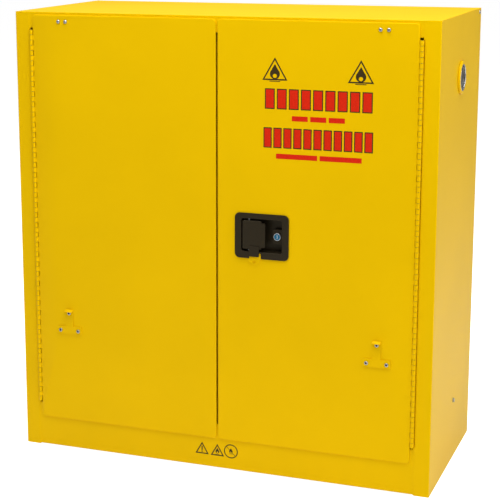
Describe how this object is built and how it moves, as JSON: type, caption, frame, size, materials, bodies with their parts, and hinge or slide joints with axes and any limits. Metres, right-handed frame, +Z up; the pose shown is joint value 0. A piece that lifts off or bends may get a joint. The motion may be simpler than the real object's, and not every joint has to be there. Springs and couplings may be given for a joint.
{
  "type": "flammable liquids storage cabinet",
  "caption": "Double-wall steel cabinet for flammable liquids, with hinged doors, a recessed paddle latch with key lock, side vents, a shelf and a liquid-tight sump.",
  "frame": {"origin": "middle of the bounding box's bottom face, on the floor", "axes": "+Z up, -Y out of the doors, +X towards the door with the handle"},
  "size_m": [1.072, 0.4946, 1.118],
  "materials": {
    "side_left": "yellow powder-coat paint, satin",
    "side_right": "yellow powder-coat paint, satin",
    "top_panel": "yellow powder-coat paint, satin",
    "header": "yellow powder-coat paint, satin",
    "sill": "yellow powder-coat paint, satin",
    "back_panel": "yellow powder-coat paint, satin",
    "base_panel": "yellow powder-coat paint, satin",
    "liner_left": "galvanised sheet or zinc-plated steel",
    "liner_right": "galvanised sheet or zinc-plated steel",
    "liner_back": "galvanised sheet or zinc-plated steel",
    "liner_top": "galvanised sheet or zinc-plated steel",
    "sump": "galvanised sheet or zinc-plated steel",
    "shelf": "galvanised sheet or zinc-plated steel",
    "shelf_rail_left": "galvanised sheet or zinc-plated steel",
    "shelf_rail_right": "galvanised sheet or zinc-plated steel",
    "vent_left": "yellow powder-coat paint, satin",
    "vent_right": "yellow powder-coat paint, satin",
    "vent_screen_left": "bright plated steel",
    "vent_screen_right": "bright plated steel",
    "ground_screw": "bright plated steel",
    "rear_screw": "bright plated steel",
    "hinge_left_frame_leaf": "yellow powder-coat paint, satin",
    "hinge_right_frame_leaf": "yellow powder-coat paint, satin",
    "hinge_pin_left": "bright plated steel",
    "hinge_pin_right": "bright plated steel",
    "door_left_skin": "yellow powder-coat paint, satin",
    "door_left_pan": "yellow powder-coat paint, satin",
    "hinge_left_door_leaf": "yellow powder-coat paint, satin",
    "hook_left": "yellow powder-coat paint, satin",
    "hook_rivet_left_1": "bright plated steel",
    "hook_rivet_left_2": "bright plated steel",
    "hook_rivet_left_3": "bright plated steel",
    "door_bolt_left_1": "bright plated steel",
    "door_bolt_left_2": "bright plated steel",
    "door_right_skin": "yellow powder-coat paint, satin",
    "door_right_pan": "yellow powder-coat paint, satin",
    "hinge_right_door_leaf": "yellow powder-coat paint, satin",
    "hook_right": "yellow powder-coat paint, satin",
    "hook_rivet_right_1": "bright plated steel",
    "hook_rivet_right_2": "bright plated steel",
    "hook_rivet_right_3": "bright plated steel",
    "door_bolt_right_1": "bright plated steel",
    "door_bolt_right_2": "bright plated steel",
    "centre_strip": "yellow powder-coat paint, satin",
    "handle_housing": "black powder-coat paint, satin",
    "paddle_pin": "bright plated steel",
    "padlock_tab": "yellow powder-coat paint, satin",
    "rod_guide_top": "galvanised sheet or zinc-plated steel",
    "rod_guide_bottom": "galvanised sheet or zinc-plated steel",
    "paddle": "black powder-coat paint, satin",
    "lock_cylinder": "bright plated steel",
    "latch_cam": "galvanised sheet or zinc-plated steel",
    "rod_top": "galvanised sheet or zinc-plated steel",
    "rod_bottom": "galvanised sheet or zinc-plated steel",
    "centre_bolt": "galvanised sheet or zinc-plated steel"
  },
  "bodies": {
    "case": {"side_left": "side_left", "side_right": "side_right", "top_panel": "top_panel", "header": "header", "sill": "sill", "back_panel": "back_panel", "base_panel": "base_panel", "liner_left": "liner_left", "liner_right": "liner_right", "liner_back": "liner_back", "liner_top": "liner_top", "sump": "sump", "shelf": "shelf", "shelf_rail_left": "shelf_rail_left", "shelf_rail_right": "shelf_rail_right", "vent_left": "vent_left", "vent_right": "vent_right", "vent_screen_left": "vent_screen_left", "vent_screen_right": "vent_screen_right", "ground_screw": "ground_screw", "rear_screw": "rear_screw", "hinge_left_frame_leaf": "hinge_left_frame_leaf", "hinge_right_frame_leaf": "hinge_right_frame_leaf", "hinge_pin_left": "hinge_pin_left", "hinge_pin_right": "hinge_pin_right"},
    "left_door": {"door_left_skin": "door_left_skin", "door_left_pan": "door_left_pan", "hinge_left_door_leaf": "hinge_left_door_leaf", "hook_left": "hook_left", "hook_rivet_left_1": "hook_rivet_left_1", "hook_rivet_left_2": "hook_rivet_left_2", "hook_rivet_left_3": "hook_rivet_left_3", "door_bolt_left_1": "door_bolt_left_1", "door_bolt_left_2": "door_bolt_left_2"},
    "right_door": {"door_right_skin": "door_right_skin", "door_right_pan": "door_right_pan", "hinge_right_door_leaf": "hinge_right_door_leaf", "hook_right": "hook_right", "hook_rivet_right_1": "hook_rivet_right_1", "hook_rivet_right_2": "hook_rivet_right_2", "hook_rivet_right_3": "hook_rivet_right_3", "door_bolt_right_1": "door_bolt_right_1", "door_bolt_right_2": "door_bolt_right_2", "centre_strip": "centre_strip", "handle_housing": "handle_housing", "paddle_pin": "paddle_pin", "padlock_tab": "padlock_tab", "rod_guide_top": "rod_guide_top", "rod_guide_bottom": "rod_guide_bottom"},
    "paddle": {"paddle": "paddle"},
    "key_cylinder": {"lock_cylinder": "lock_cylinder"},
    "latch_cam": {"latch_cam": "latch_cam"},
    "top_rod": {"rod_top": "rod_top"},
    "bottom_rod": {"rod_bottom": "rod_bottom"},
    "centre_bolt": {"centre_bolt": "centre_bolt"}
  },
  "joints": [
    {"name": "left_door_hinge", "type": "hinge", "parent": "case", "child": "left_door", "pos_m": [-0.487, -0.23475, 0.6], "axis": [0, 0, -1], "range_deg": [0, 180]},
    {"name": "right_door_hinge", "type": "hinge", "parent": "case", "child": "right_door", "pos_m": [0.487, -0.23475, 0.6], "axis": [0, 0, 1], "range_deg": [0, 180]},
    {"name": "paddle_pivot", "type": "hinge", "parent": "right_door", "child": "paddle", "pos_m": [0.0805, -0.23045, 0.5995], "axis": [0, 0, -1], "range_deg": [0, 40], "stiffness_Nm_per_rad": 0.8, "springref_deg": -17.19},
    {"name": "key_turn", "type": "hinge", "parent": "right_door", "child": "key_cylinder", "pos_m": [0.1492, -0.23275, 0.599], "axis": [0, 1, 0], "range_deg": [0, 90]},
    {"name": "cam_turn", "type": "hinge", "parent": "right_door", "child": "latch_cam", "pos_m": [0.1, -0.20625, 0.5995], "axis": [0, 1, 0], "range_deg": [0, 45]},
    {"name": "top_rod_slide", "type": "slide", "parent": "right_door", "child": "top_rod", "axis": [0, 0, -1], "range_m": [0, 0.0128]},
    {"name": "bottom_rod_slide", "type": "slide", "parent": "right_door", "child": "bottom_rod", "axis": [0, 0, 1], "range_m": [0, 0.0128]},
    {"name": "centre_bolt_slide", "type": "slide", "parent": "right_door", "child": "centre_bolt", "axis": [1, 0, 0], "range_m": [0, 0.0128]}
  ],
  "couplings": [
    {"joint": "cam_turn", "follows": "paddle_pivot", "ratio": 1.125},
    {"joint": "top_rod_slide", "follows": "paddle_pivot", "m_per_rad": 0.0182},
    {"joint": "bottom_rod_slide", "follows": "paddle_pivot", "m_per_rad": 0.0182},
    {"joint": "centre_bolt_slide", "follows": "paddle_pivot", "m_per_rad": 0.0182}
  ]
}
